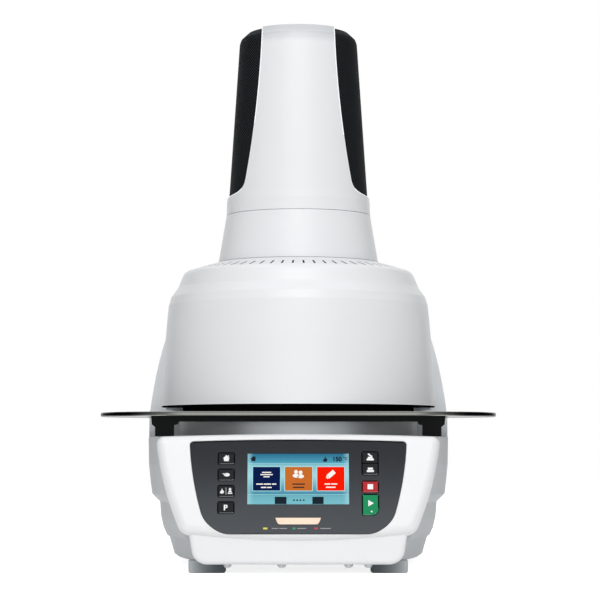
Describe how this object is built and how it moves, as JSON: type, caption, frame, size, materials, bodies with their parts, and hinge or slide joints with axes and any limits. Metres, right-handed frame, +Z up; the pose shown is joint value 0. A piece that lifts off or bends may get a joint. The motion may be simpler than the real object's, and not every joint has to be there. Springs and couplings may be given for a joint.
{
  "type": "dental press furnace",
  "caption": "Benchtop furnace that fires and presses dental ceramics: a tilting round head with a press tower over a firing table, a tray and a panel with keys.",
  "frame": {"origin": "on the bench, under the middle of the footprint's box", "axes": "+X to the right as the user faces the panel, +Y to the rear, +Z up"},
  "size_m": [0.4056, 0.4216, 0.562],
  "materials": {
    "white_enamel": "satin",
    "white_moulding": "satin",
    "grey_moulding": "satin",
    "black_mesh": "satin",
    "black_enamel": "semi-gloss",
    "panel_film": "matte",
    "screen_glass": "gloss",
    "key_rubber": "matte",
    "stop_red": "satin",
    "start_green": "satin",
    "light_lens": "satin",
    "tray_steel": "brushed",
    "bright_steel": "ground",
    "cast_aluminium": "cast",
    "fibre": "rough",
    "ceramic_white": "matte",
    "quartz": "matte",
    "heating_wire": "oxidised",
    "seal_silicone": "matte",
    "foot_rubber": "matte",
    "drum_grey": "satin",
    "module_frame": "satin",
    "board_green": "satin",
    "motor_black": "satin",
    "plate_steel": "satin",
    "port_black": "satin",
    "port_shell": "bright",
    "nickel_brass": "turned"
  },
  "bodies": {
    "base": {"bottom_pan": "grey_moulding", "rear_housing": "grey_moulding", "front_fascia": "white_moulding", "control_panel": "panel_film", "display_screen": "screen_glass", "display_module": "module_frame", "key_board": "board_green", "status_light_lens": "light_lens", "firing_base": "drum_grey", "base_insulation": "fibre", "seal_plate": "tray_steel", "seal_ring": "seal_silicone", "firing_table": "ceramic_white", "tray_holder": "black_enamel", "holder_screws": "bright_steel", "rubber_feet": "foot_rubber", "pan_screws": "bright_steel", "mains_transformer": "motor_black", "power_board": "board_green", "rear_panel": "plate_steel", "mains_inlet": "port_black", "pump_outlet": "port_black", "fuse_holders": "port_black", "switch_frame": "port_black", "usb_port": "port_shell", "vacuum_nipple": "nickel_brass", "vacuum_valve": "nickel_brass", "lift_drive": "motor_black", "hinge_bracket_left": "cast_aluminium", "hinge_bracket_right": "cast_aluminium"},
    "tray": {"cooling_tray": "tray_steel"},
    "head": {"head_shell": "white_enamel", "neck_cone": "white_enamel", "tower_cover": "white_enamel", "tower_sleeve": "black_mesh", "head_bottom_plate": "black_enamel", "head_insulation": "fibre", "firing_muffle": "quartz", "heating_coil": "heating_wire", "thermocouple": "ceramic_white", "press_plate": "cast_aluminium", "guide_rods": "bright_steel", "motor_plate": "cast_aluminium", "press_motor": "motor_black", "hinge_arm": "cast_aluminium", "hinge_pin": "bright_steel"},
    "press": {"press_crosshead": "cast_aluminium", "press_screw": "bright_steel", "press_rod": "bright_steel", "press_plunger": "ceramic_white"},
    "rocker": {"switch_rocker": "port_black"},
    "key_home": {"key_home": "key_rubber"},
    "key_programs": {"key_programs": "key_rubber"},
    "key_heating": {"key_heating": "key_rubber"},
    "key_options": {"key_options": "key_rubber"},
    "key_open_head": {"key_open_head": "key_rubber"},
    "key_close_head": {"key_close_head": "key_rubber"},
    "key_stop": {"key_stop": "stop_red"},
    "key_start": {"key_start": "start_green"}
  },
  "joints": [
    {"name": "head_tilt", "type": "hinge", "parent": "base", "child": "head", "pos_m": [0, 0.168, 0.238], "axis": [-1, 0, 0], "range_deg": [0, 40]},
    {"name": "press_stroke", "type": "slide", "parent": "head", "child": "press", "axis": [0, 0, -1], "range_m": [0, 0.045]},
    {"name": "tray_slide", "type": "slide", "parent": "base", "child": "tray", "axis": [0, -1, 0], "range_m": [0, 0.33]},
    {"name": "power_switch", "type": "hinge", "parent": "base", "child": "rocker", "pos_m": [0.032, 0.1796, 0.1], "axis": [-1, 0, 0], "range_deg": [0, 20]},
    {"name": "press_home", "type": "slide", "parent": "base", "child": "key_home", "axis": [0, 0.9563, -0.2924], "range_m": [0, 0.001], "stiffness_N_per_m": 600, "springref_m": -0.0006},
    {"name": "press_programs", "type": "slide", "parent": "base", "child": "key_programs", "axis": [0, 0.9563, -0.2924], "range_m": [0, 0.001], "stiffness_N_per_m": 600, "springref_m": -0.0006},
    {"name": "press_heating", "type": "slide", "parent": "base", "child": "key_heating", "axis": [0, 0.9563, -0.2924], "range_m": [0, 0.001], "stiffness_N_per_m": 600, "springref_m": -0.0006},
    {"name": "press_options", "type": "slide", "parent": "base", "child": "key_options", "axis": [0, 0.9563, -0.2924], "range_m": [0, 0.001], "stiffness_N_per_m": 600, "springref_m": -0.0006},
    {"name": "press_open_head", "type": "slide", "parent": "base", "child": "key_open_head", "axis": [0, 0.9563, -0.2924], "range_m": [0, 0.001], "stiffness_N_per_m": 600, "springref_m": -0.0006},
    {"name": "press_close_head", "type": "slide", "parent": "base", "child": "key_close_head", "axis": [0, 0.9563, -0.2924], "range_m": [0, 0.001], "stiffness_N_per_m": 600, "springref_m": -0.0006},
    {"name": "press_stop", "type": "slide", "parent": "base", "child": "key_stop", "axis": [0, 0.9563, -0.2924], "range_m": [0, 0.001], "stiffness_N_per_m": 600, "springref_m": -0.0006},
    {"name": "press_start", "type": "slide", "parent": "base", "child": "key_start", "axis": [0, 0.9563, -0.2924], "range_m": [0, 0.001], "stiffness_N_per_m": 600, "springref_m": -0.0006}
  ]
}
